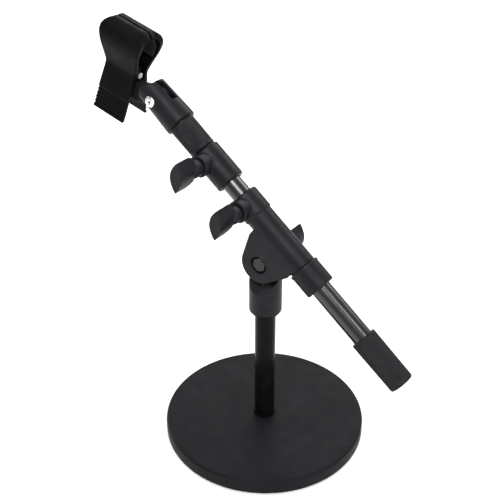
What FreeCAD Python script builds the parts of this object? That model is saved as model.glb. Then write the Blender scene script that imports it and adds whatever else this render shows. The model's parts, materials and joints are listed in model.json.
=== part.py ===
import FreeCAD, Part
import math
import os
import Sketcher

# Tabletop boom microphone stand.  Millimetres, +Z up.  The origin is the centre of the
# round base on the table, the boom lies in the XZ plane and the counterweight end is +X.
# Boom pieces are drawn along their own X axis and leaned over by the boom angle; clip
# pieces are drawn with X along the microphone and Z up between the jaws.

doc = FreeCAD.newDocument("boom_microphone_stand")
sheet = doc.addObject("Spreadsheet::Sheet", "dims")

SIZES = {
    "base_diameter": 160, "base_top": 13, "base_underside": 1.5, "base_edge_round": 2.4,
    "base_recess_diameter": 27, "base_recess_top": 8, "pad_diameter": 148,
    "pad_top": 2.7, "stud_diameter": 9.6, "stud_hole": 9.7, "stud_bottom": 3,
    "nut_flats": 16, "nut_top": 7, "washer_diameter": 22,
    "column_diameter": 16, "column_bore": 13, "column_end": 127, "plug_diameter": 12.9,
    "foot_plug_top": 33, "top_plug_bottom": 108, "top_stud_end": 138, "top_stud_diameter": 9.4,
    "head_diameter": 25, "head_bottom": 110, "head_chamfer": 4.5, "head_bore": 16.1,
    "pivot_height": 157.5, "ear_gap": 0.6, "disc_seat": 0.2, "scoop_inner": 16.2,
    "scoop_outer": 24.5, "back_boss_diameter": 17, "back_face": 18.5, "bolt_diameter": 6.2,
    "bolt_hole": 6.3, "bracket_ear_radius": 15, "recess_diameter": 13.6,
    "recess_depth": 4.6, "bolt_head_flats": 10, "bolt_head_depth": 3.6,
    "friction_disc_diameter": 22, "pivot_washer_diameter": 16, "pivot_washer_thickness": 1,
    "boom_angle": 37.9, "boom_offset": 24, "barrel_diameter": 20.5, "collar_diameter": 22.4,
    "sleeve_bore": 17.4, "sleeve_start": -45, "collar_end": -27, "sleeve_end": 22.5,
    "end_ring_diameter": 23.6, "end_ring_end": 42, "bush_bore": 15.1, "bush_length": 24,
    "rear_bush_length": 14, "web_half_width": 21,
    "rod_diameter": 15, "rod_bore": 12.6, "rod_start": -70, "rod_end": 95,
    "weight_start": 87.5, "weight_end": 130, "weight_diameter": 19.6, "weight_taper": 0.4,
    "clutch_start": -88, "clutch_end": -58, "clutch_diameter": 22.2, "clutch_bore": 15.1,
    "inner_diameter": 12, "clutch_bush_bore": 12.12, "inner_end": 20,
    "coupling_start": -114, "coupling_end": -88.4, "coupling_diameter": 20,
    "mic_thread_diameter": 15.6, "mic_thread_start": -126,
    "holder_start": -114.5, "holder_diameter": 24.4, "rivet_place": -140, "slot_floor": -130,
    "slot_width": 6, "insert_diameter": 18.6, "insert_bore": 15.76, "insert_start": -127,
    "rivet_diameter": 4.8, "rivet_hole": 4.9, "rivet_head_diameter": 8.8,
    "rivet_head_depth": 1.4, "ear_spotface": 10.6,
    "clip_angle": 16, "clip_reach": 34.7, "clip_rise": 7.5, "tongue_thickness": 5.4,
    "tongue_end_diameter": 17,
    "jaw_width": 40, "jaw_waist": 29, "jaw_foot": 30, "jaw_top": 36, "jaw_bottom": -36,
    "pin_diameter": 3, "pin_length": 28, "cheek_inner": 5.2, "cheek_outer": 7.4,
    "lug_thickness": 2.4, "mic_height": 21, "mouth_diameter": 20.6, "grip_diameter": 18,
    "pad_length": 32, "pad_sweep_angle": 92, "pad_lift_angle": 6,
    "sleeve_knob_place": -37, "clutch_knob_place": -80, "boss_diameter": 16.5,
    "boss_reach": 16.5, "screw_diameter": 5, "screw_hole": 5.12,
    "knob_hub_diameter": 13, "knob_length": 24, "knob_span": 25, "knob_crown": 6,
    "knob_flat_side": 4.2, "knob_tilt": 98,
}


class Size:
    """A number that carries the sheet expression it came from."""

    def __init__(self, value, text):
        self.value = value
        self.text = text

    def combine(self, other, sign, value):
        return Size(value, "(" + self.text + " " + sign + " " + as_size(other).text + ")")

    def __add__(self, other):
        return self.combine(other, "+", self.value + as_size(other).value)

    def __sub__(self, other):
        return self.combine(other, "-", self.value - as_size(other).value)

    def __mul__(self, other):
        return self.combine(other, "*", self.value * as_size(other).value)

    def __truediv__(self, other):
        return self.combine(other, "/", self.value / as_size(other).value)

    def __neg__(self):
        return Size(-self.value, "(0 - " + self.text + ")")


def as_size(number):
    if isinstance(number, Size):
        return number
    return Size(float(number), "(" + repr(float(number)) + ")")


for row, (alias, number) in enumerate(SIZES.items(), start=1):
    cell = "B" + str(row)
    sheet.set("A" + str(row), alias)
    sheet.set(cell, str(number))
    sheet.setAlias(cell, alias)
doc.recompute()
dim = {alias: Size(float(number), "dims." + alias) for alias, number in SIZES.items()}

parts = []
ROLES = {"XY": "XY_Plane", "XZ": "XZ_Plane", "YZ": "YZ_Plane"}


def bind(item, name, size):
    """Give a property its value and the sheet expression behind it."""
    setattr(item, name, as_size(size).value)
    item.setExpression(name, as_size(size).text)


def keep(item, label):
    """Record a finished piece under its node name."""
    item.Label = label
    parts.append((label, item))
    return item


def new_body(label, placement=None):
    body = doc.addObject("PartDesign::Body", label + "_body")
    keep(body, label)
    if placement:
        body.Placement = placement
    return body


def new_sketch(body, plane, lift=0.0):
    """A sketch on one of the body's own origin planes, lifted along its normal."""
    sketch = body.newObject("Sketcher::SketchObject", "sketch")
    support = [part for part in body.Origin.OriginFeatures if part.Role == ROLES[plane]][0]
    sketch.AttachmentSupport = [(support, "")]
    sketch.MapMode = "FlatFace"
    sketch.AttachmentOffset = FreeCAD.Placement(FreeCAD.Vector(0, 0, lift), FreeCAD.Rotation())
    return sketch


def pin_point(sketch, geometry, end, point):
    """Hold one end of a sketch element at a place given by two sizes."""
    for axis, size in zip(("DistanceX", "DistanceY"), point):
        size = as_size(size)
        index = sketch.addConstraint(
            Sketcher.Constraint(axis, -1, 1, geometry, end, size.value))
        sketch.setExpression("Constraints[%d]" % index, size.text)


def polygon(sketch, points):
    """A closed outline of straight lines whose corners are sizes."""
    corners = [FreeCAD.Vector(as_size(x).value, as_size(y).value, 0) for x, y in points]
    first = sketch.GeometryCount
    count = len(corners)
    for index in range(count):
        sketch.addGeometry(Part.LineSegment(corners[index], corners[(index + 1) % count]))
    for index in range(count):
        following = first + (index + 1) % count
        sketch.addConstraint(Sketcher.Constraint("Coincident", first + index, 2, following, 1))
        pin_point(sketch, first + index, 1, points[index])


def circle(sketch, x, y, diameter):
    x, y, diameter = as_size(x), as_size(y), as_size(diameter)
    middle = FreeCAD.Vector(x.value, y.value, 0)
    index = sketch.addGeometry(
        Part.Circle(middle, FreeCAD.Vector(0, 0, 1), diameter.value / 2))
    pin_point(sketch, index, 3, (x, y))
    rule = sketch.addConstraint(Sketcher.Constraint("Diameter", index, diameter.value))
    sketch.setExpression("Constraints[%d]" % rule, diameter.text)


def revolve(body, points, axis):
    """Turn an outline on the XZ plane about X (H_Axis) or Z (V_Axis)."""
    sketch = new_sketch(body, "XZ")
    polygon(sketch, points)
    feature = body.newObject("PartDesign::Revolution", "turned")
    feature.Profile = sketch
    feature.ReferenceAxis = (sketch, [axis])
    feature.Angle = 360
    doc.recompute()
    return feature


def pad(body, sketch, length, reverse=False, both=False):
    feature = body.newObject("PartDesign::Pad", "pad")
    feature.Profile = sketch
    bind(feature, "Length", length)
    feature.Reversed = reverse
    feature.Midplane = both
    doc.recompute()
    return feature


def pocket(body, sketch, length, reverse=False, both=False):
    """Cut with a sketch and check that the cut took material away."""
    before = body.Shape.Volume
    feature = body.newObject("PartDesign::Pocket", "pocket")
    feature.Profile = sketch
    bind(feature, "Length", length)
    feature.Reversed = reverse
    feature.Midplane = both
    doc.recompute()
    if body.Shape.Volume > before - 0.01:
        raise RuntimeError("a pocket in " + body.Label + " cuts nothing")
    return feature


def dress(body, kind, size_name, size, chosen):
    """Round or chamfer the edges that a test picks."""
    tip = body.Tip
    names = ["Edge%d" % (index + 1) for index, edge in enumerate(tip.Shape.Edges) if chosen(edge)]
    if not names:
        raise RuntimeError("no edges to dress on " + body.Label)
    feature = body.newObject("PartDesign::" + kind, kind.lower())
    feature.Base = (tip, names)
    bind(feature, size_name, size)
    doc.recompute()
    if feature.State and "Invalid" in feature.State:
        raise RuntimeError("the edges of " + body.Label + " did not dress")
    return feature


def ring_at(radius, axis, place):
    """A test for a full circular edge of this radius at this place on an axis."""
    def chosen(edge):
        if not isinstance(edge.Curve, Part.Circle) or not edge.isClosed():
            return False
        middle = getattr(edge.Curve.Center, axis)
        return abs(edge.Curve.Radius - radius) < 0.02 and abs(middle - place) < 0.02
    return chosen


def tube(body, outer, inner, low, high, axis):
    """A plain turned sleeve: two radii and two places along its axis."""
    corners = [(inner, low), (outer, low), (outer, high), (inner, high)]
    if axis == "H_Axis":
        corners = [(place, radius) for radius, place in corners]
    return revolve(body, corners, axis)


def hexagon(sketch, flats):
    """A hexagon about the sketch's origin, given across its flats."""
    half = as_size(flats) / 2
    corner = half / math.cos(math.radians(30))
    side = corner / 2
    polygon(sketch, [(corner, 0), (side, half), (-side, half),
                     (-corner, 0), (-side, -half), (side, -half)])


PIVOT = FreeCAD.Vector(0, 0, dim["pivot_height"].value)
BOOM_TURN = FreeCAD.Rotation(FreeCAD.Vector(0, 1, 0), dim["boom_angle"].value)
CLIP_TURN = FreeCAD.Rotation(FreeCAD.Vector(0, 1, 0), dim["clip_angle"].value)
BOOM_ORIGIN = PIVOT + BOOM_TURN.multVec(FreeCAD.Vector(0, 0, dim["boom_offset"].value))
RIVET = BOOM_ORIGIN + BOOM_TURN.multVec(FreeCAD.Vector(dim["rivet_place"].value, 0, 0))
CLIP_ORIGIN = RIVET + CLIP_TURN.multVec(
    FreeCAD.Vector(-dim["clip_reach"].value, 0, dim["clip_rise"].value))
on_boom = FreeCAD.Placement(BOOM_ORIGIN, BOOM_TURN)
at_pivot = FreeCAD.Placement(PIVOT, BOOM_TURN)
in_clip = FreeCAD.Placement(CLIP_ORIGIN, CLIP_TURN)
TOWARDS_FRONT = FreeCAD.Rotation(FreeCAD.Vector(1, 0, 0), 90)
TOWARDS_BACK = FreeCAD.Rotation(FreeCAD.Vector(1, 0, 0), -90)


# ---------------------------------------------------------------- base and column
def make_base():
    body = new_body("base_plate")
    rim = dim["base_diameter"] / 2
    low = dim["base_underside"]
    top = dim["base_top"]
    groove = dim["pad_top"]
    revolve(body, [
        (dim["stud_hole"] / 2, dim["base_recess_top"]), (dim["stud_hole"] / 2, top),
        (rim, top), (rim, low), (dim["pad_diameter"] / 2, low),
        (dim["pad_diameter"] / 2, groove), (dim["base_recess_diameter"] / 2, groove),
        (dim["base_recess_diameter"] / 2, dim["base_recess_top"])], "V_Axis")
    dress(body, "Fillet", "Radius", dim["base_edge_round"], ring_at(rim.value, "z", top.value))
    dress(body, "Fillet", "Radius", 1.0, ring_at(rim.value, "z", low.value))

    sole = new_body("rubber_sole")
    edge = dim["pad_diameter"] / 2 - 0.1
    revolve(sole, [(0, 0), (edge - 0.6, 0), (edge, 0.6), (edge, groove), (0, groove)], "V_Axis")


def make_base_fixing():
    stud = new_body("base_stud")
    tube_stud = [(0, dim["stud_bottom"]), (dim["stud_diameter"] / 2, dim["stud_bottom"]),
                 (dim["stud_diameter"] / 2, dim["foot_plug_top"] - 1), (0, dim["foot_plug_top"] - 1)]
    revolve(stud, tube_stud, "V_Axis")

    washer = new_body("base_washer")
    tube(washer, dim["washer_diameter"] / 2, dim["stud_hole"] / 2, dim["nut_top"],
         dim["base_recess_top"], "V_Axis")

    nut = new_body("base_nut")
    sketch = new_sketch(nut, "XY", dim["stud_bottom"].value)
    hexagon(sketch, dim["nut_flats"])
    circle(sketch, 0, 0, dim["stud_hole"])
    pad(nut, sketch, dim["nut_top"] - dim["stud_bottom"])


def make_column():
    column = new_body("column_tube")
    tube(column, dim["column_diameter"] / 2, dim["column_bore"] / 2, dim["base_top"],
         dim["column_end"], "V_Axis")

    foot = new_body("column_foot_plug")
    tube(foot, dim["plug_diameter"] / 2, dim["stud_hole"] / 2, dim["base_top"],
         dim["foot_plug_top"], "V_Axis")

    top = new_body("column_top_stud")
    plug = dim["plug_diameter"] / 2
    thread = dim["top_stud_diameter"] / 2
    revolve(top, [
        (0, dim["top_plug_bottom"]), (plug, dim["top_plug_bottom"]),
        (plug, dim["column_end"]), (thread, dim["column_end"]),
        (thread, dim["top_stud_end"] - 1), (thread - 1, dim["top_stud_end"]),
        (0, dim["top_stud_end"])], "V_Axis")


# ---------------------------------------------------------------- tilting head
def make_head():
    """Round body drawn from the pivot, its front half cut away beside the bracket's ear."""
    body = new_body("head_base", FreeCAD.Placement(PIVOT, FreeCAD.Rotation()))
    radius = dim["head_diameter"] / 2
    pivot = dim["pivot_height"]
    low = dim["head_bottom"] - pivot
    bore_end = dim["column_end"] - pivot + 0.4
    thread = dim["top_stud_diameter"] / 2 + 0.08
    stud_room = dim["top_stud_end"] - pivot + 0.6
    revolve(body, [
        (dim["head_bore"] / 2, low), (radius - dim["head_chamfer"] / 1.3, low),
        (radius, low + dim["head_chamfer"]), (radius, radius), (0, radius),
        (0, stud_room), (thread, stud_room), (thread, bore_end),
        (dim["head_bore"] / 2, bore_end)], "V_Axis")

    before = body.Shape.Volume
    scoop = new_sketch(body, "YZ")
    front = -(radius + 1)
    seat = dim["disc_seat"]
    polygon(scoop, [(seat, 0), (seat, -dim["scoop_inner"]), (front, -dim["scoop_outer"]),
                    (front, 0)])
    hollow = body.newObject("PartDesign::Groove", "scoop")
    hollow.Profile = scoop
    hollow.ReferenceAxis = (scoop, ["H_Axis"])
    hollow.Angle = 360
    doc.recompute()
    if body.Shape.Volume > before - 1:
        raise RuntimeError("the scoop cuts nothing")

    crown_cut = new_sketch(body, "XZ")
    crown_outline(crown_cut, radius)
    pocket(body, crown_cut, dim["head_diameter"] * 2, both=True)
    boss = new_sketch(body, "XZ", -seat.value)
    circle(boss, 0, 0, dim["back_boss_diameter"])
    pad(body, boss, dim["back_face"] - seat, reverse=True)
    hole = new_sketch(body, "XZ")
    circle(hole, 0, 0, dim["bolt_hole"])
    pocket(body, hole, dim["head_diameter"] * 2, both=True)


def crown_outline(sketch, radius):
    """Everything above a round crown: a half circle below a rectangle."""
    side = radius.value + 2
    dome = Part.Circle(FreeCAD.Vector(0, 0, 0), FreeCAD.Vector(0, 0, 1), radius.value)
    sketch.addGeometry(Part.ArcOfCircle(dome, 0, math.pi))
    path = [(-radius.value, 0), (-side, 0), (-side, side), (side, side), (side, 0),
            (radius.value, 0)]
    for start, finish in zip(path, path[1:]):
        sketch.addGeometry(Part.LineSegment(FreeCAD.Vector(start[0], start[1], 0),
                                            FreeCAD.Vector(finish[0], finish[1], 0)))
    sketch.addConstraint(Sketcher.Constraint("Coincident", 0, 2, 1, 1))
    for index in range(1, 5):
        sketch.addConstraint(Sketcher.Constraint("Coincident", index, 2, index + 1, 1))
    sketch.addConstraint(Sketcher.Constraint("Coincident", 5, 2, 0, 1))
    pin_point(sketch, 0, 3, (0, 0))
    rule = sketch.addConstraint(Sketcher.Constraint("Radius", 0, radius.value))
    sketch.setExpression("Constraints[%d]" % rule, radius.text)


def make_pivot_fixing():
    """Bolt, friction disc and washer on the tilt axis, drawn along -Y from the pivot."""
    ear = dim["barrel_diameter"] / 2
    head_face = ear - dim["recess_depth"]
    bolt = new_body("pivot_bolt", at_pivot)
    shank = new_sketch(bolt, "XZ", head_face.value)
    circle(shank, 0, 0, dim["bolt_diameter"])
    pad(bolt, shank, head_face + dim["back_face"] + 13, reverse=True)
    head = new_sketch(bolt, "XZ", head_face.value)
    hexagon(head, dim["bolt_head_flats"])
    pad(bolt, head, dim["bolt_head_depth"])

    disc = new_body("friction_disc", at_pivot)
    outline = new_sketch(disc, "XZ", dim["ear_gap"].value)
    circle(outline, 0, 0, dim["friction_disc_diameter"])
    circle(outline, 0, 0, dim["bolt_hole"])
    pad(disc, outline, dim["ear_gap"] + dim["disc_seat"], reverse=True)

    washer = new_body("pivot_washer", at_pivot)
    outline = new_sketch(washer, "XZ", -dim["back_face"].value)
    circle(outline, 0, 0, dim["pivot_washer_diameter"])
    circle(outline, 0, 0, dim["bolt_hole"])
    pad(washer, outline, dim["pivot_washer_thickness"], reverse=True)


# ---------------------------------------------------------------- boom bracket
def tangent_point(centre_z, radius, x, z):
    """Where a line from (x, z) touches a circle on the Z axis, on the same side as x."""
    reach = math.hypot(x, z - centre_z)
    lean = math.atan2(z - centre_z, x) - math.acos(radius / reach)
    return radius * math.cos(lean), centre_z + radius * math.sin(lean)


def make_bracket():
    """Barrel, clamp collar and the flat ear that carries them on the pivot."""
    body = new_body("boom_bracket", on_boom)
    bore = dim["sleeve_bore"] / 2
    barrel = dim["barrel_diameter"] / 2
    collar = dim["collar_diameter"] / 2
    revolve(body, [
        (dim["sleeve_start"], bore), (dim["sleeve_start"], collar - 0.8),
        (dim["sleeve_start"] + 0.8, collar), (dim["collar_end"], collar),
        (dim["collar_end"], barrel), (dim["sleeve_end"], barrel),
        (dim["sleeve_end"], bore)], "H_Axis")

    drop = dim["boom_offset"]
    ear = dim["bracket_ear_radius"]
    thickness = barrel - dim["ear_gap"]
    disc = new_sketch(body, "XZ", dim["ear_gap"].value)
    circle(disc, 0, -drop, ear * 2)
    pad(body, disc, thickness)
    half = dim["web_half_width"]
    root = -barrel.value
    touch_x, touch_z = tangent_point(-drop.value, ear.value, half.value, root)
    web = new_sketch(body, "XZ", dim["ear_gap"].value)
    polygon(web, [(-touch_x, touch_z), (touch_x, touch_z), (half, root), (half, 0),
                  (-half, 0), (-half, root)])
    pad(body, web, thickness)
    through = new_sketch(body, "YZ")
    circle(through, 0, 0, dim["sleeve_bore"])
    pocket(body, through, half * 4, both=True)

    boss = new_sketch(body, "XZ", bore.value)
    circle(boss, dim["sleeve_knob_place"], 0, dim["boss_diameter"])
    pad(body, boss, dim["boss_reach"] - bore)
    screw = new_sketch(body, "XZ")
    circle(screw, dim["sleeve_knob_place"], 0, dim["screw_hole"])
    pocket(body, screw, dim["boss_reach"] + 1, reverse=True)

    hole = new_sketch(body, "XZ")
    circle(hole, 0, -drop, dim["bolt_hole"])
    pocket(body, hole, barrel + 1, reverse=True)
    recess = new_sketch(body, "XZ", barrel.value - dim["recess_depth"].value)
    circle(recess, 0, -drop, dim["recess_diameter"])
    pocket(body, recess, dim["recess_depth"] + 1, reverse=True)


def make_sleeve_linings():
    ring = new_body("sleeve_end_ring", on_boom)
    outer = dim["end_ring_diameter"] / 2
    bore = dim["bush_bore"] / 2 + 0.1
    start = dim["sleeve_end"]
    finish = dim["end_ring_end"]
    revolve(ring, [(start, bore), (start, outer), (finish - 0.8, outer),
                   (finish, outer - 0.8), (finish, bore)], "H_Axis")

    lining = dim["sleeve_bore"] / 2 - 0.02
    front = new_body("sleeve_bush_front", on_boom)
    tube(front, lining, dim["bush_bore"] / 2, dim["sleeve_start"],
         dim["sleeve_start"] + dim["bush_length"], "H_Axis")
    drill_for_screw(front, dim["sleeve_knob_place"], lining)
    rear = new_body("sleeve_bush_rear", on_boom)
    tube(rear, lining, dim["bush_bore"] / 2, start - dim["rear_bush_length"], start, "H_Axis")


def drill_for_screw(body, place, reach):
    """A radial hole on the front side for a clamp screw and its pad."""
    sketch = new_sketch(body, "XZ")
    circle(sketch, place, 0, dim["screw_hole"])
    pocket(body, sketch, reach + 1, reverse=True)


# ---------------------------------------------------------------- sliding boom
def make_rod():
    rod = new_body("boom_rod", on_boom)
    tube(rod, dim["rod_diameter"] / 2, dim["rod_bore"] / 2, dim["rod_start"], dim["rod_end"],
         "H_Axis")

    plug = new_body("rod_end_plug", on_boom)
    revolve(plug, [(dim["weight_start"] - 2, 0), (dim["weight_start"] - 2, dim["rod_bore"] / 2 - 0.05),
                   (dim["rod_end"], dim["rod_bore"] / 2 - 0.05), (dim["rod_end"], 0)], "H_Axis")

    weight = new_body("counterweight", on_boom)
    wide = dim["weight_diameter"] / 2
    slim = wide - dim["weight_taper"]
    start = dim["weight_start"]
    finish = dim["weight_end"]
    bore = dim["rod_diameter"] / 2 + 0.02
    revolve(weight, [
        (start, bore), (start, wide - 0.7), (start + 0.7, wide), (finish - 1.2, slim),
        (finish, slim - 1.2), (finish, 0), (dim["rod_end"] + 0.1, 0),
        (dim["rod_end"] + 0.1, bore)], "H_Axis")


def make_clutch():
    """Clamp on the end of the boom rod that holds the thinner inner tube."""
    clutch = new_body("clutch_body", on_boom)
    outer = dim["clutch_diameter"] / 2
    bore = dim["clutch_bore"] / 2
    start = dim["clutch_start"]
    finish = dim["clutch_end"]
    revolve(clutch, [(start, bore), (start, outer - 0.8), (start + 0.8, outer),
                     (finish - 0.8, outer), (finish, outer - 0.8), (finish, bore)], "H_Axis")
    boss = new_sketch(clutch, "XZ", bore.value + 1)
    circle(boss, dim["clutch_knob_place"], 0, dim["boss_diameter"])
    pad(clutch, boss, dim["boss_reach"] - bore - 1)
    drill_for_screw(clutch, dim["clutch_knob_place"], dim["boss_reach"])

    bush = new_body("clutch_bush", on_boom)
    tube(bush, bore - 0.02, dim["clutch_bush_bore"] / 2, start, dim["rod_start"], "H_Axis")
    drill_for_screw(bush, dim["clutch_knob_place"], bore)


def make_inner_tube():
    inner = new_body("inner_tube", on_boom)
    tube(inner, dim["inner_diameter"] / 2, dim["inner_diameter"] / 2 - 1.2,
         dim["coupling_end"] - 11, dim["inner_end"], "H_Axis")

    stop = new_body("inner_tube_stop", on_boom)
    lip = dim["rod_bore"] / 2 - 0.1
    plug = dim["inner_diameter"] / 2 - 1.25
    finish = dim["inner_end"]
    revolve(stop, [(finish - 6, 0), (finish - 6, plug), (finish, plug), (finish, lip),
                   (finish + 3, lip), (finish + 3, 0)], "H_Axis")

    coupling = new_body("coupling", on_boom)
    outer = dim["coupling_diameter"] / 2
    bore = dim["inner_diameter"] / 2 + 0.02
    start = dim["coupling_start"]
    finish = dim["coupling_end"]
    revolve(coupling, [(start, bore), (start, outer), (finish - 1, outer - 0.3),
                       (finish, outer - 1.2), (finish, bore)], "H_Axis")

    stud = new_body("coupling_stud", on_boom)
    thread = dim["mic_thread_diameter"] / 2
    tip = dim["mic_thread_start"]
    revolve(stud, [(tip, 0), (tip, thread - 1), (tip + 1, thread), (start, thread),
                   (start, bore - 0.04), (start + 14, bore - 0.04), (start + 14, 0)], "H_Axis")


# ---------------------------------------------------------------- clamp knobs
def lens(sketch, span, below, above):
    """A pointed oval whose two sides bulge by different amounts either side of X."""
    half = span / 2
    steps = 10
    points = []
    for bulge, side in ((below, -1), (above, 1)):
        for step in range(steps):
            share = 2 * step / steps - 1
            points.append((half * (-side * share), bulge * (side * (1 - share * share))))
    polygon(sketch, points)


def make_knob(label, placement):
    """Thumb knob drawn along Z: a round hub under a thick blade with a lens section."""
    body = new_body(label, placement)
    hub = dim["knob_hub_diameter"] / 2
    revolve(body, [(0, 0.4), (hub - 0.8, 0.4), (hub, 1.2), (hub, 6.5), (hub - 2.4, 9.5),
                   (0, 9.5)], "V_Axis")
    span = dim["knob_span"] / 2
    length = dim["knob_length"]
    blade_start = 7
    blade = new_sketch(body, "XY", blade_start)
    lens(blade, dim["knob_span"], dim["knob_crown"], dim["knob_flat_side"])
    pad(body, blade, length - blade_start)
    for side in (1, -1):
        corner = new_sketch(body, "XZ")
        polygon(corner, [((span + 1) * side, blade_start - 1),
                         ((span - 5.5) * side, blade_start - 1),
                         ((span - 4) * side, blade_start + 0.5),
                         ((span - 1.4) * side, blade_start + 2.6),
                         ((span + 1) * side, blade_start + 8)])
        pocket(body, corner, 40, both=True)
    hole = new_sketch(body, "XY", 0.4)
    circle(hole, 0, 0, dim["screw_diameter"] + 0.04)
    pocket(body, hole, 13, reverse=True)
    return body


def make_clamp(name, place, rod_radius):
    """Knob, screw and pad of one clamp, all on the front side of the boom."""
    foot = BOOM_ORIGIN + BOOM_TURN.multVec(FreeCAD.Vector(place.value, 0, 0))
    spin = FreeCAD.Rotation(FreeCAD.Vector(0, 1, 0), dim["knob_tilt"].value).multiply(TOWARDS_FRONT)
    reach = dim["boss_reach"].value
    make_knob(name + "_knob", FreeCAD.Placement(foot + FreeCAD.Vector(0, -reach, 0), spin))

    pad_face = rod_radius + 0.1
    screw_face = rod_radius + 2.2
    pad_body = new_body(name + "_pad", FreeCAD.Placement(foot, TOWARDS_FRONT))
    revolve(pad_body, [(0, pad_face), (dim["screw_diameter"] / 2 - 0.02, pad_face),
                       (dim["screw_diameter"] / 2 - 0.02, screw_face - 0.1),
                       (0, screw_face - 0.1)], "V_Axis")
    screw = new_body(name + "_screw", FreeCAD.Placement(foot, TOWARDS_FRONT))
    revolve(screw, [(0, screw_face), (dim["screw_diameter"] / 2, screw_face),
                    (dim["screw_diameter"] / 2, dim["boss_reach"] + 13),
                    (0, dim["boss_reach"] + 13)], "V_Axis")


def make_pivot_knob():
    start = dim["back_face"] + dim["pivot_washer_thickness"]
    place = PIVOT + FreeCAD.Vector(0, start.value, 0)
    turn = FreeCAD.Rotation(FreeCAD.Vector(0, 1, 0), dim["knob_tilt"].value).multiply(TOWARDS_BACK)
    body = make_knob("pivot_knob", FreeCAD.Placement(place, turn))
    hole = new_sketch(body, "XY", 0.4)
    circle(hole, 0, 0, dim["bolt_hole"] + 0.1)
    pocket(body, hole, 13, reverse=True)


# ---------------------------------------------------------------- microphone holder
def make_holder():
    """Round clevis: a threaded socket below and two rounded ears above its slot."""
    body = new_body("holder_clevis", on_boom)
    radius = dim["holder_diameter"] / 2
    start = dim["holder_start"]
    rivet = dim["rivet_place"]
    socket = dim["insert_diameter"] / 2
    revolve(body, [(start, socket), (start, radius - 0.8), (start - 0.8, radius),
                   (rivet - radius, radius - 1.5), (rivet - radius, 0),
                   (dim["insert_start"], 0), (dim["insert_start"], socket)], "H_Axis")
    slot = new_sketch(body, "XY")
    half = dim["slot_width"] / 2
    far = rivet - radius - 1
    polygon(slot, [(far, -half), (dim["slot_floor"], -half), (dim["slot_floor"], half),
                   (far, half)])
    pocket(body, slot, dim["holder_diameter"] + 2, both=True)

    crown = new_sketch(body, "XZ")
    end_outline(crown, rivet, radius)
    pocket(body, crown, dim["holder_diameter"] + 2, both=True)
    hole = new_sketch(body, "XZ")
    circle(hole, rivet, 0, dim["rivet_hole"])
    pocket(body, hole, dim["holder_diameter"] + 2, both=True)
    for side in (1, -1):
        face = new_sketch(body, "XZ", side * dim["ear_spotface"].value)
        circle(face, rivet, 0, dim["rivet_head_diameter"] + 0.6)
        pocket(body, face, 4, reverse=side > 0)

    insert = new_body("thread_insert", on_boom)
    tube(insert, socket - 0.02, dim["insert_bore"] / 2, dim["insert_start"] + 0.3, start - 0.1,
         "H_Axis")


def end_outline(sketch, place, radius):
    """Everything beyond a round ear end, drawn past its left side."""
    x = place.value
    side = radius.value + 2
    far = x - radius.value - 3
    arc = Part.Circle(FreeCAD.Vector(x, 0, 0), FreeCAD.Vector(0, 0, 1), radius.value)
    sketch.addGeometry(Part.ArcOfCircle(arc, math.pi / 2, 3 * math.pi / 2))
    path = [(x, -radius.value), (x, -side), (far, -side), (far, side), (x, side),
            (x, radius.value)]
    for start, finish in zip(path, path[1:]):
        sketch.addGeometry(Part.LineSegment(FreeCAD.Vector(start[0], start[1], 0),
                                            FreeCAD.Vector(finish[0], finish[1], 0)))
    sketch.addConstraint(Sketcher.Constraint("Coincident", 0, 2, 1, 1))
    for index in range(1, 5):
        sketch.addConstraint(Sketcher.Constraint("Coincident", index, 2, index + 1, 1))
    sketch.addConstraint(Sketcher.Constraint("Coincident", 5, 2, 0, 1))
    pin_point(sketch, 0, 3, (place, 0))
    rule = sketch.addConstraint(Sketcher.Constraint("Radius", 0, radius.value))
    sketch.setExpression("Constraints[%d]" % rule, radius.text)


def make_rivet():
    """Tubular rivet through both ears and the clip's tongue."""
    body = new_body("rivet", FreeCAD.Placement(RIVET, TOWARDS_FRONT))
    shank = dim["rivet_diameter"] / 2
    head = dim["rivet_head_diameter"] / 2
    half = dim["ear_spotface"]
    tip = half + dim["rivet_head_depth"]
    revolve(body, [(0.9, -tip), (head - 0.8, -tip), (head, -half), (shank, -half),
                   (shank, half), (head, half), (head - 0.8, tip), (0.9, tip)], "V_Axis")


# ---------------------------------------------------------------- spring clip
def make_clip_frame():
    """Flat tongue with two cheeks that carry the jaw pin."""
    body = new_body("clip_frame", in_clip)
    reach = dim["clip_reach"]
    drop = -dim["clip_rise"]
    near = dim["cheek_inner"]
    far = dim["cheek_outer"]
    tail = dim["tongue_end_diameter"] / 2
    tongue = new_sketch(body, "XZ")
    polygon(tongue, [(-far, -14), (-far, -4.4), (far, -4.4), (far + 6, -4.4), (reach, drop + tail),
                     (reach, drop - tail), (14, -20), (-4, -20)])
    pad(body, tongue, dim["tongue_thickness"], both=True)
    end = new_sketch(body, "XZ")
    circle(end, reach, drop, dim["tongue_end_diameter"])
    pad(body, end, dim["tongue_thickness"], both=True)
    hole = new_sketch(body, "XZ")
    circle(hole, reach, drop, dim["rivet_hole"])
    pocket(body, hole, dim["slot_width"], both=True)
    for start in (-far.value, near.value):
        cheek = new_sketch(body, "YZ", start)
        polygon(cheek, [(-2.8, -8), (2.8, -8), (2.8, 2.4), (1.8, 3.6), (-1.8, 3.6), (-2.8, 2.4)])
        pad(body, cheek, far - near)
    pin_hole = new_sketch(body, "YZ")
    circle(pin_hole, 0, 0, dim["pin_diameter"] + 0.1)
    pocket(body, pin_hole, 40, both=True)

    pin = new_body("jaw_pin", in_clip)
    half = dim["pin_length"] / 2
    tip = dim["pin_diameter"] / 2
    revolve(pin, [(-half, 0), (-half, tip + 0.9), (-half + 1, tip + 0.9), (-half + 1, tip),
                  (half - 1, tip), (half - 1, tip + 0.9), (half, tip + 0.9), (half, 0)], "H_Axis")


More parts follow.
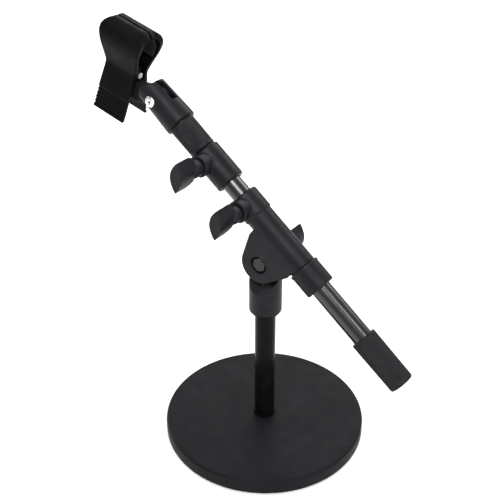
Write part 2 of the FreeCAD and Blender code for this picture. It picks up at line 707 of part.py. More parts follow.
def make_jaw_spring():
    """Torsion spring as touching turns round the pin, with a short leg to each jaw."""
    wire = 1.2
    leg_length = 3
    turns = 8
    inner = dim["pin_diameter"].value / 2 + 0.5
    outer = inner + wire / 2
    start = -turns * wire / 2
    edges = []
    for turn in range(turns):
        low = start + turn * wire
        first = FreeCAD.Vector(low, 0, outer)
        middle = FreeCAD.Vector(low + wire / 2, 0, outer + wire / 2)
        last = FreeCAD.Vector(low + wire, 0, outer)
        edges.append(Part.Arc(first, middle, last).toShape())
    corners = [FreeCAD.Vector(-start, 0, outer), FreeCAD.Vector(-start, 0, inner),
               FreeCAD.Vector(start, 0, inner), FreeCAD.Vector(start, 0, outer)]
    for first, last in zip(corners, corners[1:]):
        edges.append(Part.LineSegment(first, last).toShape())
    face = Part.Face(Part.Wire(edges))
    coil = face.revolve(FreeCAD.Vector(0, 0, 0), FreeCAD.Vector(1, 0, 0), 360)
    for side in (1, -1):
        root = FreeCAD.Vector(side * (-start - wire / 2), side * (inner + wire / 2), -1)
        leg = Part.makeCylinder(wire / 2 - 0.02, leg_length, root, FreeCAD.Vector(0, 0, -1))
        coil = coil.fuse(leg)
    feature = doc.addObject("Part::Feature", "jaw_spring_shape")
    feature.Shape = coil.removeSplitter()
    feature.Placement = in_clip
    keep(feature, "jaw_spring")


def jaw_outline(side):
    """Section of one jaw in the YZ plane, out to the side of Y given by the sign."""
    top = dim["jaw_top"]
    low = dim["jaw_bottom"]
    lean = 0.6
    points = [(4.6, 12.5), (4.6, -6), (6.6, -10), (11.4, low), (14, low + 0.4), (14.5, low + 3)]
    for step in range(5):
        foot = low + 3 + step * 3
        points += [(13.5 - step * lean, foot + 0.4), (13.9 - step * lean, foot + 3)]
    points += [(8.1, -2), (8, 3), (10.8, 12), (12.9, 19), (13.2, 25), (12, 30), (9.2, 33.6),
               (4.4, 35.7), (1, top), (1, 12.5)]
    return [(as_size(y) * side, z) for y, z in points]


def make_jaw(label, side):
    """Moulded jaw: gripping shell above the pin, ribbed finger plate below it."""
    body = new_body(label, in_clip)
    section = new_sketch(body, "YZ")
    polygon(section, jaw_outline(side))
    pad(body, section, dim["jaw_width"], both=True)

    edge = dim["jaw_width"] / 2
    waist = dim["jaw_waist"] / 2
    foot = dim["jaw_foot"] / 2
    low = dim["jaw_bottom"]
    mouth = new_sketch(body, "YZ")
    circle(mouth, 0, dim["mic_height"], dim["mouth_diameter"])
    pocket(body, mouth, dim["jaw_width"] + 4, both=True)
    for hand in (1, -1):
        notch = new_sketch(body, "XZ")
        beyond = (edge + 2) * hand
        polygon(notch, [((edge - 0.2) * hand, dim["jaw_top"] - 8), (waist * hand, 3),
                        (waist * hand, -4), (foot * hand, low + 8), (foot * hand, low - 1),
                        (beyond, low - 1), (beyond, dim["jaw_top"] - 8)])
        pocket(body, notch, 60, both=True)
        corner = new_sketch(body, "XZ")
        polygon(corner, [((edge - 5.5) * hand, dim["jaw_top"] + 1), ((edge - 3.2) * hand, 34.2),
                         ((edge - 0.9) * hand, 31.2), (edge * hand, dim["jaw_top"] - 8),
                         (beyond, dim["jaw_top"] - 8), (beyond, dim["jaw_top"] + 1)])
        pocket(body, corner, 60, both=True)

    width = dim["lug_thickness"]
    for start in lug_places(side):
        lug = new_sketch(body, "YZ", start)
        polygon(lug, [(-2.6 * side, -2.4), (1 * side, -3.2), (6 * side, -4.4),
                      (6.6 * side, -2), (6.6 * side, 3), (1 * side, 3), (-2.6 * side, 1.6)])
        pad(body, lug, width)
    hole = new_sketch(body, "YZ")
    circle(hole, 0, 0, dim["pin_diameter"] + 0.12)
    pocket(body, hole, 60, both=True)


def lug_places(side):
    """Where each jaw's two pin lugs start; the jaws' lugs sit side by side on the pin."""
    width = dim["lug_thickness"].value
    near = dim["cheek_outer"].value + 0.3
    far = near + width + 0.3
    if side < 0:
        return (-near - width, far)
    return (-far - width, near)


def make_jaw_pad(label, side):
    """Soft lining inside the gripping shell, part of a cylinder round the microphone."""
    middle = FreeCAD.Vector(0, 0, dim["mic_height"].value)
    lift = FreeCAD.Rotation(FreeCAD.Vector(1, 0, 0), side * dim["pad_lift_angle"].value)
    body = new_body(label, in_clip.multiply(FreeCAD.Placement(middle, lift)))
    inner = dim["grip_diameter"] / 2
    outer = dim["mouth_diameter"] / 2 - 0.05
    half = dim["pad_length"] / 2
    sketch = new_sketch(body, "XY")
    polygon(sketch, [(-half, inner * side), (half, inner * side), (half, outer * side),
                     (-half, outer * side)])
    arc = body.newObject("PartDesign::Revolution", "turned")
    arc.Profile = sketch
    arc.ReferenceAxis = (sketch, ["H_Axis"])
    arc.Midplane = True
    bind(arc, "Angle", dim["pad_sweep_angle"])
    doc.recompute()


make_base()
make_base_fixing()
make_column()
make_head()
make_pivot_fixing()
make_bracket()
make_sleeve_linings()
make_rod()
make_clutch()
make_inner_tube()
make_clamp("sleeve", dim["sleeve_knob_place"], dim["rod_diameter"].value / 2)
make_clamp("clutch", dim["clutch_knob_place"], dim["inner_diameter"].value / 2)
make_pivot_knob()
make_holder()
make_rivet()
make_clip_frame()
make_jaw_spring()
make_jaw("front_jaw", -1)
make_jaw("back_jaw", 1)
make_jaw_pad("front_jaw_pad", -1)
make_jaw_pad("back_jaw_pad", 1)

doc.recompute()
for item in doc.Objects:
    if "Invalid" in item.State or "Error" in item.State:
        raise RuntimeError(item.Label + " did not build: " + str(item.State))
os.makedirs("parts", exist_ok=True)
for label, item in parts:
    shape = item.Shape
    if shape.isNull() or not shape.isValid() or not shape.Solids:
        raise RuntimeError(label + " has no valid solid")
    shape.exportStep(os.path.join("parts", label + ".step"))
    box = shape.BoundBox
    print("%-20s %d solid(s) %9.1f mm3  x %.1f..%.1f y %.1f..%.1f z %.1f..%.1f" % (
        label, len(shape.Solids), shape.Volume, box.XMin, box.XMax, box.YMin, box.YMax,
        box.ZMin, box.ZMax))
print(len(parts), "pieces")
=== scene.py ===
import json
import math

import bmesh
import bpy
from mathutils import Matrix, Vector


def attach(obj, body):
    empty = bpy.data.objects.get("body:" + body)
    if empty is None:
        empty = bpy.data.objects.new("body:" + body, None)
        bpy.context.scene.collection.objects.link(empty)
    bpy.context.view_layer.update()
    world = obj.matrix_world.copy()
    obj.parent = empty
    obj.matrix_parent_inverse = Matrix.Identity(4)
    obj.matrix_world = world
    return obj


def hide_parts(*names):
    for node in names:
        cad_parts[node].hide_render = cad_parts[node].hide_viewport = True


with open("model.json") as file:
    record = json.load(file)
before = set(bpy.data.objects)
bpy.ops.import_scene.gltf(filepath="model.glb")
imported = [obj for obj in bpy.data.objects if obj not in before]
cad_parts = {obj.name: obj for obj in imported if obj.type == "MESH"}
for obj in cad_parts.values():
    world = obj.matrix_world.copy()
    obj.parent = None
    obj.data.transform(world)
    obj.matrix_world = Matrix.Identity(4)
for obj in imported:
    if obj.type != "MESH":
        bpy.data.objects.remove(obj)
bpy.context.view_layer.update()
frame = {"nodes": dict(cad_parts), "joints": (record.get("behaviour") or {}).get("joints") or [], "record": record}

# Everything is in metres in the stand's own frame.  The joints give the axes that the
# pieces are turned about, and the CAD nodes give their sizes.
MM = 0.001
joints = {joint["name"]: joint for joint in frame["joints"]}
body_of_node = {node: body for body, nodes in frame["record"]["behaviour"]["bodies"].items()
                for node in nodes}
slot_of_node = {part["node"]: part["material_slot"] for part in frame["record"]["subparts"]}

UP = Vector((0, 0, 1))
SIDE = Vector((0, 1, 0))
ORIGIN = Vector((0, 0, 0))
PIVOT = Vector(joints["boom_tilt"]["pos_m"])
BOOM = Vector(joints["boom_slide"]["axis"])
BOOM_POINT = Vector(joints["holder_turn"]["pos_m"])
RIVET = Vector(joints["clip_tilt"]["pos_m"])
CLIP = Vector(joints["front_jaw_open"]["pos_m"])
MIC = Vector(joints["front_jaw_open"]["axis"])
CLIP_UP = MIC.cross(SIDE)


# ---------------------------------------------------------------- materials
class Look:
    """A material being built: a shader and the few node steps that the looks share."""

    def __init__(self, name):
        self.material = bpy.data.materials.new(name)
        self.material.use_nodes = True
        self.nodes = self.material.node_tree.nodes
        self.links = self.material.node_tree.links
        self.shader = self.nodes["Principled BSDF"]
        self.place = self.nodes.new("ShaderNodeTexCoord").outputs["Object"]

    def set(self, **values):
        for name, value in values.items():
            self.shader.inputs[name.replace("_", " ")].default_value = value

    def noise(self, size, detail=3.0, stretch=None):
        """Noise whose features are about this size in metres."""
        node = self.nodes.new("ShaderNodeTexNoise")
        node.inputs["Scale"].default_value = 1.0 / size
        node.inputs["Detail"].default_value = detail
        place = self.place
        if stretch:
            mapping = self.nodes.new("ShaderNodeMapping")
            mapping.inputs["Rotation"].default_value = stretch[0]
            mapping.inputs["Scale"].default_value = stretch[1]
            self.links.new(place, mapping.inputs["Vector"])
            place = mapping.outputs["Vector"]
        self.links.new(place, node.inputs["Vector"])
        return node.outputs["Fac"]

    def spread(self, value, low, high, start=0.3, end=0.7):
        """Carry a 0 to 1 value onto another range."""
        node = self.nodes.new("ShaderNodeMapRange")
        node.inputs["From Min"].default_value = start
        node.inputs["From Max"].default_value = end
        node.inputs["To Min"].default_value = low
        node.inputs["To Max"].default_value = high
        self.links.new(value, node.inputs["Value"])
        return node.outputs["Result"]

    def blend(self, factor, first, second):
        node = self.nodes.new("ShaderNodeMix")
        node.data_type = "RGBA"
        self.links.new(factor, node.inputs["Factor"])
        for socket, colour in ((node.inputs[6], first), (node.inputs[7], second)):
            if isinstance(colour, tuple):
                socket.default_value = (*colour, 1)
            else:
                self.links.new(colour, socket)
        return node.outputs[2]

    def worn_edges(self):
        """How sharp and convex the surface is here, from 0 to 1."""
        geometry = self.nodes.new("ShaderNodeNewGeometry")
        return self.spread(geometry.outputs["Pointiness"], 0.0, 1.0, 0.53, 0.62)

    def colour(self, socket):
        self.links.new(socket, self.shader.inputs["Base Color"])

    def roughness(self, socket):
        self.links.new(socket, self.shader.inputs["Roughness"])

    def bump(self, height, distance, strength=1.0, under=None):
        node = self.nodes.new("ShaderNodeBump")
        node.inputs["Distance"].default_value = distance
        node.inputs["Strength"].default_value = strength
        self.links.new(height, node.inputs["Height"])
        if under:
            self.links.new(under, node.inputs["Normal"])
        self.links.new(node.outputs["Normal"], self.shader.inputs["Normal"])
        return node.outputs["Normal"]


def black_look(name, dark, light, worn, rough, grain, height, cloud=14 * MM, shine=0.25):
    """A black finish: cloudy tone, fine grain and slightly paler rubbed edges."""
    look = Look(name)
    look.set(Specular_IOR_Level=shine, IOR=1.5)
    tone = look.blend(look.spread(look.noise(cloud), 0.0, 1.0), dark, light)
    look.colour(look.blend(look.worn_edges(), tone, worn))
    look.roughness(look.spread(look.noise(cloud * 0.4, 5.0), rough[0], rough[1]))
    pores = look.bump(look.noise(cloud * 0.5, 2.0), height * 2, 0.25)
    look.bump(look.noise(grain, 4.0), height, 0.8, pores)
    return look.material


def powder_coat():
    return black_look("powder_coat", (0.0048, 0.0049, 0.0062), (0.0070, 0.0071, 0.0088),
                      (0.010, 0.010, 0.012), (0.46, 0.58), 0.42 * MM, 0.035 * MM, 30 * MM,
                      0.08)


def moulding():
    return black_look("moulding", (0.0062, 0.0062, 0.0080), (0.0094, 0.0094, 0.0118),
                      (0.022, 0.022, 0.026), (0.38, 0.52), 0.26 * MM, 0.022 * MM, shine=0.14)


# A darker copy of the moulding for the jaw shells: painted shade, darker than the same plastic on the jaws' own
# lugs.
def jaw_moulding_painted_shade():
    return black_look("jaw_moulding_painted_shade", (0.0022, 0.0022, 0.0023), (0.0036, 0.0036, 0.0037),
                      (0.010, 0.010, 0.010), (0.42, 0.56), 0.24 * MM, 0.018 * MM, shine=0.06)


def weight_look():
    return black_look("weight", (0.0065, 0.0065, 0.0080), (0.0100, 0.0100, 0.0120),
                      (0.024, 0.024, 0.027), (0.38, 0.5), 0.22 * MM, 0.015 * MM, shine=0.16)


def bearing_plastic():
    return black_look("bearing_plastic", (0.024, 0.024, 0.025), (0.034, 0.034, 0.035),
                      (0.05, 0.05, 0.05), (0.3, 0.42), 0.5 * MM, 0.008 * MM)


def soft_rubber():
    return black_look("soft_rubber", (0.009, 0.009, 0.0095), (0.014, 0.014, 0.014),
                      (0.022, 0.022, 0.022), (0.66, 0.82), 0.5 * MM, 0.03 * MM)


def black_steel():
    return black_look("black_steel", (0.012, 0.012, 0.013), (0.022, 0.022, 0.024),
                      (0.11, 0.11, 0.11), (0.26, 0.4), 0.35 * MM, 0.01 * MM)


def gloss_tube(name, shine, coat):
    """Stoved gloss black on steel: faint cloudy tone and orange peel under a clear coat."""
    look = Look(name)
    look.set(Specular_IOR_Level=shine, Coat_Weight=coat, Coat_Roughness=0.28)
    look.colour(look.blend(look.spread(look.noise(9 * MM), 0.0, 1.0),
                           (0.0026, 0.0026, 0.003), (0.0046, 0.0046, 0.0052)))
    look.roughness(look.spread(look.noise(3 * MM, 6.0), 0.17, 0.28))
    peel = look.bump(look.noise(1.6 * MM, 1.0), 0.012 * MM, 0.5)
    look.bump(look.noise(0.3 * MM, 3.0), 0.003 * MM, 0.5, peel)
    return look.material


def metal_look(name, dull, bright, rough, scratch):
    look = Look(name)
    look.set(Metallic=1.0)
    look.colour(look.blend(look.spread(look.noise(2.5 * MM, 4.0), 0.0, 1.0), dull, bright))
    look.roughness(look.spread(look.noise(1.2 * MM, 6.0), rough[0], rough[1]))
    look.bump(look.noise(0.22 * MM, 5.0, ((0, 0, 0.6), (1.0, 6.0, 1.0))), scratch, 0.6)
    return look.material


looks = {
    "powder_coat": powder_coat(),
    "gloss_tube": gloss_tube("gloss_tube", 0.5, 0.35),
    "column_paint": gloss_tube("column_paint", 0.05, 0.0),
    "plain_steel": metal_look("plain_steel", (0.36, 0.36, 0.37), (0.56, 0.56, 0.57),
                              (0.26, 0.42), 0.01 * MM),
    "black_steel": black_steel(),
    "moulding": moulding(),
    "jaw_moulding_painted_shade": jaw_moulding_painted_shade(),
    "bearing_plastic": bearing_plastic(),
    "weight": weight_look(),
    "brass": metal_look("brass", (0.5, 0.36, 0.14), (0.76, 0.58, 0.26), (0.22, 0.36),
                        0.008 * MM),
    "rivet_steel": metal_look("rivet_steel", (0.62, 0.61, 0.59), (0.86, 0.85, 0.83),
                              (0.16, 0.3), 0.006 * MM),
    "soft_rubber": soft_rubber(),
}


# ---------------------------------------------------------------- mesh helpers
def finish_piece(piece, body, slot):
    """Give a piece its look, its body and smooth shading."""
    piece.data.materials.clear()
    piece.data.materials.append(looks[slot])
    for face in piece.data.polygons:
        face.use_smooth = True
    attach(piece, body)
    return piece


def stand_for(piece, node):
    """A piece that is shown in place of one CAD node."""
    finish_piece(piece, body_of_node[node], slot_of_node[node])
    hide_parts(node)
    return piece


def measure(node, point, axis):
    """Lowest and highest place of a node along an axis, and its greatest radius."""
    places = []
    radius = 0.0
    for vertex in frame["nodes"][node].data.vertices:
        offset = vertex.co - point
        place = offset.dot(axis)
        places.append(place)
        radius = max(radius, (offset - axis * place).length)
    return min(places), max(places), radius


def link_mesh(name, mesh):
    piece = bpy.data.objects.new(name, mesh)
    bpy.context.scene.collection.objects.link(piece)
    return piece


def link_built(name, mesh):
    """Link a mesh made with bmesh as a piece, and free the bmesh."""
    data = bpy.data.meshes.new(name)
    mesh.to_mesh(data)
    mesh.free()
    return link_mesh(name, data)


def apply_modifiers(piece):
    """Swap a piece's mesh for the result of its modifiers."""
    graph = bpy.context.evaluated_depsgraph_get()
    made = bpy.data.meshes.new_from_object(piece.evaluated_get(graph))
    piece.modifiers.clear()
    piece.data = made


def rounded(corners, steps=5):
    """A profile of (place, radius, rounding) corners, each turned into a short curve."""
    points = []
    count = len(corners)
    for index, (place, radius, rounding) in enumerate(corners):
        corner = Vector((place, radius))
        if rounding <= 0:
            points.append(corner)
            continue
        before = Vector(corners[index - 1][:2]) - corner
        after = Vector(corners[(index + 1) % count][:2]) - corner
        start = corner + before.normalized() * min(rounding, before.length * 0.45)
        end = corner + after.normalized() * min(rounding, after.length * 0.45)
        for step in range(steps + 1):
            t = step / steps
            points.append(start * (1 - t) ** 2 + corner * 2 * t * (1 - t) + end * t ** 2)
    return points


def refine(points, longest):
    """Split long straight stretches so that flutes and wear have vertices to use."""
    result = []
    for first, second in zip(points, points[1:] + points[:1]):
        result.append(first)
        pieces = int((second - first).length / longest)
        for step in range(1, pieces):
            result.append(first.lerp(second, step / pieces))
    return result


def turned(name, profile, point, axis, segments=128, flutes=0, depth=0.0, fluted=None):
    """A closed profile of (place, radius) points turned about an axis.

    fluted(place, radius) gives how far, 0 to 1, the flutes cut at that profile point.
    """
    first = axis.orthogonal().normalized()
    second = axis.cross(first)
    mesh = bmesh.new()
    rows = []
    for place, radius in profile:
        if radius < 1e-6:
            rows.append([mesh.verts.new(point + axis * place)])
            continue
        cut = fluted(place, radius) if fluted else 0.0
        row = []
        for index in range(segments):
            angle = 2 * math.pi * index / segments
            groove = abs(math.sin(angle * flutes / 2)) ** 0.8 if flutes else 0.0
            reach = radius - depth * cut * (1 - groove)
            row.append(mesh.verts.new(point + axis * place + first * reach * math.cos(angle)
                                      + second * reach * math.sin(angle)))
        rows.append(row)
    count = len(rows)
    for index in range(count):
        low, high = rows[index], rows[(index + 1) % count]
        if len(low) == 1 and len(high) == 1:
            continue
        for step in range(segments):
            after = (step + 1) % segments
            if len(low) == 1:
                mesh.faces.new((low[0], high[after], high[step]))
            elif len(high) == 1:
                mesh.faces.new((low[step], low[after], high[0]))
            else:
                mesh.faces.new((low[step], low[after], high[after], high[step]))
    bmesh.ops.recalc_face_normals(mesh, faces=mesh.faces)
    return link_built(name, mesh)


def moulded(name, node, voxel, passes):
    """A CAD node's shape with every edge run round, as a moulding or casting has."""
    piece = link_mesh(name, frame["nodes"][node].data.copy())
    remesh = piece.modifiers.new("remesh", "REMESH")
    remesh.mode = "VOXEL"
    remesh.voxel_size = voxel
    smooth = piece.modifiers.new("smooth", "SMOOTH")
    smooth.factor = 0.5
    smooth.iterations = passes
    apply_modifiers(piece)
    return stand_for(piece, node)


# ---------------------------------------------------------------- base and tubes
WALL = 1.2 * MM


def build_base():
    low, high, rim = measure("base_plate", ORIGIN, UP)
    bore = measure("base_stud", ORIGIN, UP)[2] + 0.1 * MM
    sole = measure("rubber_sole", ORIGIN, UP)
    groove = sole[2] + 0.1 * MM
    profile = rounded([
        (high, bore, 0), (high, rim, 2.6 * MM), (low, rim, 1.2 * MM),
        (low, groove, 0.3 * MM), (sole[1], groove, 0), (sole[1], bore, 0)], 9)
    stand_for(turned("base_casting", refine(profile, 6 * MM), ORIGIN, UP, 256), "base_plate")


def build_tube(name, node, point, axis, look=None):
    """A steel tube with rolled edges at both ends, in its slot's look or another."""
    low, high, outer = measure(node, point, axis)
    bore = outer - WALL
    profile = rounded([(low, bore, 0.3 * MM), (low, outer, 0.4 * MM), (high, outer, 0.4 * MM),
                       (high, bore, 0.3 * MM)])
    piece = stand_for(turned(name, refine(profile, 8 * MM), point, axis, 96), node)
    if look:
        piece.data.materials[0] = looks[look]


def build_end_ring():
    low, high, outer = measure("sleeve_end_ring", BOOM_POINT, BOOM)
    bore = measure("boom_rod", BOOM_POINT, BOOM)[2] + 0.15 * MM
    profile = rounded([
        (low, bore, 0), (low, outer, 0.7 * MM), (low + 2.2 * MM, outer, 0.4 * MM),
        (low + 2.6 * MM, outer - 0.4 * MM, 0.3 * MM),
        (high - 0.8 * MM, outer - 0.4 * MM, 0.9 * MM),
        (high, outer - 1.6 * MM, 0.6 * MM), (high, bore, 0.4 * MM)])
    stand_for(turned("lower_clamp_ring", profile, BOOM_POINT, BOOM, 128), "sleeve_end_ring")


# ---------------------------------------------------------------- fluted pieces
FLUTE_DEPTH = 0.55 * MM


def flute_reach(start, end, fade, skin):
    """Flutes that run between two places on the outer skin and fade in at each end."""
    def fluted(place, radius):
        inside = min(place - start, end - place) / fade
        return max(0.0, min(1.0, inside)) if radius > skin else 0.0
    return fluted


def build_counterweight():
    """Fluted slug with a plain rounded nose and a blind socket for the rod."""
    low, high, outer = measure("counterweight", BOOM_POINT, BOOM)
    bore = measure("boom_rod", BOOM_POINT, BOOM)[2] + 0.02 * MM
    floor = measure("boom_rod", BOOM_POINT, BOOM)[1] + 0.1 * MM
    nose = outer - 0.4 * MM
    profile = refine(rounded([
        (low, bore, 0), (low, outer, 0.9 * MM), (high, nose, 1.7 * MM), (high, 0, 0),
        (floor, 0, 0), (floor, bore, 0)], 7), 2 * MM)
    fluted = flute_reach(low + 1.2 * MM, high - 2.6 * MM, 0.9 * MM, nose - 0.5 * MM)
    stand_for(turned("fluted_counterweight", profile, BOOM_POINT, BOOM, 288, 36,
                     FLUTE_DEPTH, fluted), "counterweight")


def build_coupling():
    """Fluted collar that the microphone holder screws down against."""
    low, high, outer = measure("coupling", BOOM_POINT, BOOM)
    bore = measure("inner_tube", BOOM_POINT, BOOM)[2] + 0.02 * MM
    profile = refine(rounded([
        (low, bore, 0), (low, outer, 0.6 * MM), (high - 1 * MM, outer - 0.2 * MM, 0.6 * MM),
        (high, outer - 1.2 * MM, 0.5 * MM), (high, bore, 0.3 * MM)], 6), 2 * MM)
    fluted = flute_reach(low + 0.6 * MM, high - 2.4 * MM, 0.8 * MM, outer - 0.8 * MM)
    stand_for(turned("fluted_coupling", profile, BOOM_POINT, BOOM, 272, 34,
                     FLUTE_DEPTH, fluted), "coupling")


def build_rivet():
    """Bright tubular rivet: a rolled rim round an open end on each side."""
    low, high, head = measure("rivet", RIVET, SIDE)
    shank = 2.4 * MM
    hole = 0.9 * MM
    seat = 1.5 * MM
    profile = rounded([
        (low + 0.25 * MM, hole, 0.3 * MM), (low, hole + 1.2 * MM, 0.8 * MM),
        (low + 0.35 * MM, head - 0.5 * MM, 0.5 * MM), (low + seat - 0.1 * MM, head, 0.4 * MM),
        (low + seat, shank, 0), (high - seat, shank, 0),
        (high - seat + 0.1 * MM, head, 0.4 * MM),
        (high - 0.35 * MM, head - 0.5 * MM, 0.5 * MM), (high, hole + 1.2 * MM, 0.8 * MM),
        (high - 0.25 * MM, hole, 0.3 * MM)])
    stand_for(turned("tubular_rivet", profile, RIVET, SIDE, 72), "rivet")


# ---------------------------------------------------------------- spring clip jaws
def through(points, samples):
    """A smooth curve through given points, evenly sampled between them."""
    curve = []
    count = len(points)
    for index in range(count - 1):
        before = Vector(points[max(index - 1, 0)])
        first = Vector(points[index])
        second = Vector(points[index + 1])
        after = Vector(points[min(index + 2, count - 1)])
        for step in range(samples):
            t = step / samples
            curve.append(0.5 * (2 * first + (second - before) * t
                                + (2 * before - 5 * first + 4 * second - after) * t ** 2
                                + (3 * first - before - 3 * second + after) * t ** 3))
    curve.append(Vector(points[-1]))
    return curve


# A jaw's two faces as (across, up) from its pin, its half width as (up, half), and the
# finger ribs' extent, all in millimetres.
OUTER_FACE = [(14.2, -35.6), (13, -28), (11.2, -18), (9.3, -8), (8, -1), (8, 3.5),
              (10.4, 11), (12.6, 18), (13.2, 24), (12.2, 29.5), (9.4, 33.4), (5, 35.6),
              (1.1, 35.9)]
INNER_FACE = [(11.6, -35.6), (10.2, -28), (8.3, -18), (6.7, -10), (5, -4), (5, 5),
              (7.4, 12), (9.9, 18), (10.2, 22), (9.6, 25.8), (7.6, 29), (4.6, 31),
              (1.1, 31.8)]
HALF_WIDTH = [(-36, 15), (-28, 15), (-14, 14.7), (-2, 14.3), (2, 14.3), (10, 16.1),
              (20, 18.6), (26, 19.9), (30, 19.8), (33, 18.6), (35, 16.6), (36, 14.8)]
RIB_LOW, RIB_HIGH, RIB_PITCH, RIB_DEPTH = -34, -18.5, 3.1, 1.1


def half_width(height):
    """Half the jaw's width at a height above its pin, all in millimetres."""
    for (low, start), (high, end) in zip(HALF_WIDTH, HALF_WIDTH[1:]):
        if height <= high:
            t = max(0.0, (height - low) / (high - low))
            return start + (end - start) * t
    return HALF_WIDTH[-1][1]


def rib_cut(height):
    """How deep the finger grooves are at a height, in millimetres."""
    if not RIB_LOW < height < RIB_HIGH:
        return 0.0
    phase = (height - RIB_LOW) / RIB_PITCH % 1.0
    return RIB_DEPTH * max(0.0, min(1.0, 3.2 * math.sin(math.pi * phase) - 1.7))


def clip_point(x, y, z):
    """A place given in millimetres from the jaw pin: along the microphone, across, up."""
    return CLIP + MIC * (x * MM) + SIDE * (y * MM) + CLIP_UP * (z * MM)


# How far the crown stands out, and the stretch at each end over which it fades away.
STATIONS = 25
JAW_CROWN = 0.25
JAW_END = 36
FADE = 6


def jaw_sheet(mesh, face, side, outside):
    """Rows of vertices across the width of one face of a jaw, bottom to top."""
    sheet = []
    for y, z in face:
        across = y - rib_cut(z) - JAW_CROWN if outside else y
        flat_end = sum(max(0.0, 1 - abs(z - end) / FADE) for end in (-JAW_END, JAW_END))
        row = []
        for step in range(STATIONS):
            share = 2 * step / (STATIONS - 1) - 1
            crown = JAW_CROWN * (1 - share * share) if outside else 0.0
            y_here = across + crown * (1 - min(1.0, flat_end))
            row.append(mesh.verts.new(clip_point(share * half_width(z), side * y_here, z)))
        sheet.append(row)
    return sheet


def close_sheets(mesh, front, back):
    """Faces over both sheets and round all four edges between them."""
    count = len(front)
    for index in range(count - 1):
        for step in range(STATIONS - 1):
            for sheet in (front, back):
                mesh.faces.new((sheet[index][step], sheet[index][step + 1],
                                sheet[index + 1][step + 1], sheet[index + 1][step]))
        for step in (0, STATIONS - 1):
            mesh.faces.new((front[index][step], front[index + 1][step],
                            back[index + 1][step], back[index][step]))
    for index in (0, count - 1):
        for step in range(STATIONS - 1):
            mesh.faces.new((front[index][step], front[index][step + 1],
                            back[index][step + 1], back[index][step]))


def build_jaw(name, node, side):
    """Hourglass gripping shell with a curled top lip and a ribbed finger plate."""
    samples = 9
    mesh = bmesh.new()
    front = jaw_sheet(mesh, through(OUTER_FACE, samples), side, True)
    back = jaw_sheet(mesh, through(INNER_FACE, samples), side, False)
    close_sheets(mesh, front, back)
    bmesh.ops.recalc_face_normals(mesh, faces=mesh.faces)
    piece = link_built(name, mesh)
    bevel = piece.modifiers.new("bevel", "BEVEL")
    bevel.width = 0.55 * MM
    bevel.segments = 3
    bevel.limit_method = "ANGLE"
    bevel.angle_limit = math.radians(50)
    apply_modifiers(piece)
    stand_for(piece, node)
    # The shell takes the darker copy of the moulding: painted shade.
    piece.data.materials[0] = looks["jaw_moulding_painted_shade"]


LUG_THICKNESS = 2.4


def build_lugs(name, body, starts, side):
    """The two ears that hang a jaw on its pin."""
    outline = [(-2.6, -2.4), (1, -3.2), (6, -4.4), (6.6, -2), (6.6, 3), (1, 3),
               (-2.6, 1.6)]
    mesh = bmesh.new()
    for start in starts:
        rows = []
        for x in (start, start + LUG_THICKNESS):
            rows.append([mesh.verts.new(clip_point(x, side * y, z)) for y, z in outline])
        for row in rows:
            mesh.faces.new(row)
        for index in range(len(outline)):
            after = (index + 1) % len(outline)
            mesh.faces.new((rows[0][index], rows[0][after], rows[1][after], rows[1][index]))
    bmesh.ops.recalc_face_normals(mesh, faces=mesh.faces)
    piece = link_built(name, mesh)
    bevel = piece.modifiers.new("bevel", "BEVEL")
    bevel.width = 0.3 * MM
    bevel.segments = 2
    apply_modifiers(piece)
    finish_piece(piece, body, "moulding")


# ---------------------------------------------------------------- the stand
build_base()
build_tube("column", "column_tube", ORIGIN, UP, "column_paint")
build_tube("boom_tube", "boom_rod", BOOM_POINT, BOOM)
build_tube("telescoping_tube", "inner_tube", BOOM_POINT, BOOM)
build_end_ring()
build_counterweight()
build_coupling()
build_rivet()
build_jaw("front_jaw_shell", "front_jaw", -1)
build_jaw("back_jaw_shell", "back_jaw", 1)
build_lugs("front_jaw_lugs", body_of_node["front_jaw"], (-10.1, 10.4), -1)
build_lugs("back_jaw_lugs", body_of_node["back_jaw"], (-12.8, 7.7), 1)

MOULDINGS = {
    "boom_bracket": (0.45, 6), "head_base": (0.4, 6), "clutch_body": (0.4, 5),
    "holder_clevis": (0.35, 6), "sleeve_knob": (0.3, 7), "clutch_knob": (0.3, 7),
    "pivot_knob": (0.3, 7), "clip_frame": (0.35, 4), "front_jaw_pad": (0.3, 3),
    "back_jaw_pad": (0.3, 3), "pivot_bolt": (0.25, 3),
}
for node, (voxel, passes) in MOULDINGS.items():
    moulded(node + "_moulding", node, voxel * MM, passes)

for node, item in frame["nodes"].items():
    item.data.materials.clear()
    item.data.materials.append(looks[slot_of_node[node]])


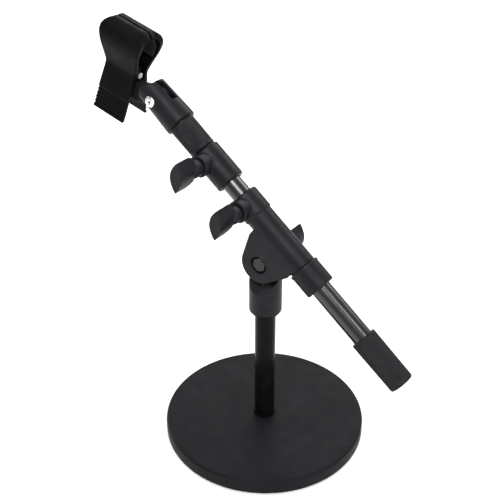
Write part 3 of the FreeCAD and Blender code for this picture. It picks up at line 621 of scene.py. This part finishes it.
# ---------------------------------------------------------------- floor, light, camera
def build_floor():
    """A pale flat sheet that runs far past the stand on every side."""
    half = 3.0
    mesh = bmesh.new()
    grid = 24
    rows = []
    for row in range(grid + 1):
        rows.append([])
        for column in range(grid + 1):
            x = half * (2 * column / grid - 1)
            y = half * (2 * row / grid - 1)
            rows[row].append(mesh.verts.new((x, y, 0)))
    for row in range(grid):
        for column in range(grid):
            mesh.faces.new((rows[row][column], rows[row][column + 1],
                            rows[row + 1][column + 1], rows[row + 1][column]))
    floor = link_built("floor", mesh)
    look = Look("floor")
    look.set(Roughness=0.75, Specular_IOR_Level=0.15)
    look.colour(look.blend(look.spread(look.noise(0.8), 0.0, 1.0), (0.93, 0.93, 0.93),
                           (0.95, 0.95, 0.95)))
    floor.data.materials.append(look.material)


def add_light(name, place, target, size, power):
    data = bpy.data.lights.new(name, "AREA")
    data.shape = "RECTANGLE"
    data.size, data.size_y = size
    data.energy = power
    light = bpy.data.objects.new(name, data)
    bpy.context.scene.collection.objects.link(light)
    light.location = place
    light.rotation_euler = (Vector(target) - Vector(place)).to_track_quat("-Z", "Y").to_euler()


def add_camera():
    """Camera above and in front, to the counterweight's side, looking down at the stand."""
    place = Vector((0.30388, -0.44422, 0.47840))
    gaze = Vector((-0.50371, 0.70290, -0.50221))
    data = bpy.data.cameras.new("camera")
    data.sensor_width = 36
    data.lens = 61.2
    data.clip_start = 0.02
    data.clip_end = 20
    camera = bpy.data.objects.new("camera", data)
    bpy.context.scene.collection.objects.link(camera)
    camera.location = place
    camera.rotation_mode = "QUATERNION"
    camera.rotation_quaternion = gaze.to_track_quat("-Z", "Y")
    bpy.context.scene.camera = camera


build_floor()
MIDDLE = (0.0, 0.0, 0.16)
add_light("key", (0.45, -1.0, 1.45), MIDDLE, (0.7, 0.7), 22)
add_light("right_strip", (1.1, -0.35, 0.75), MIDDLE, (0.25, 1.1), 8)
add_light("left_strip", (-1.15, 0.05, 0.6), MIDDLE, (0.25, 1.1), 8)
add_light("back", (0.2, 1.2, 1.1), MIDDLE, (1.2, 0.6), 11)
add_light("far_floor", (-1.3, 1.9, 1.6), (-1.4, 1.9, 0.0), (1.6, 1.6), 32)

world = bpy.data.worlds.new("studio")
world.use_nodes = True
sky = world.node_tree.nodes["Background"]
sky.inputs["Color"].default_value = (1, 1, 1, 1)
sky.inputs["Strength"].default_value = 0.5
bpy.context.scene.world = world
bpy.context.scene.view_settings.view_transform = "Standard"
add_camera()
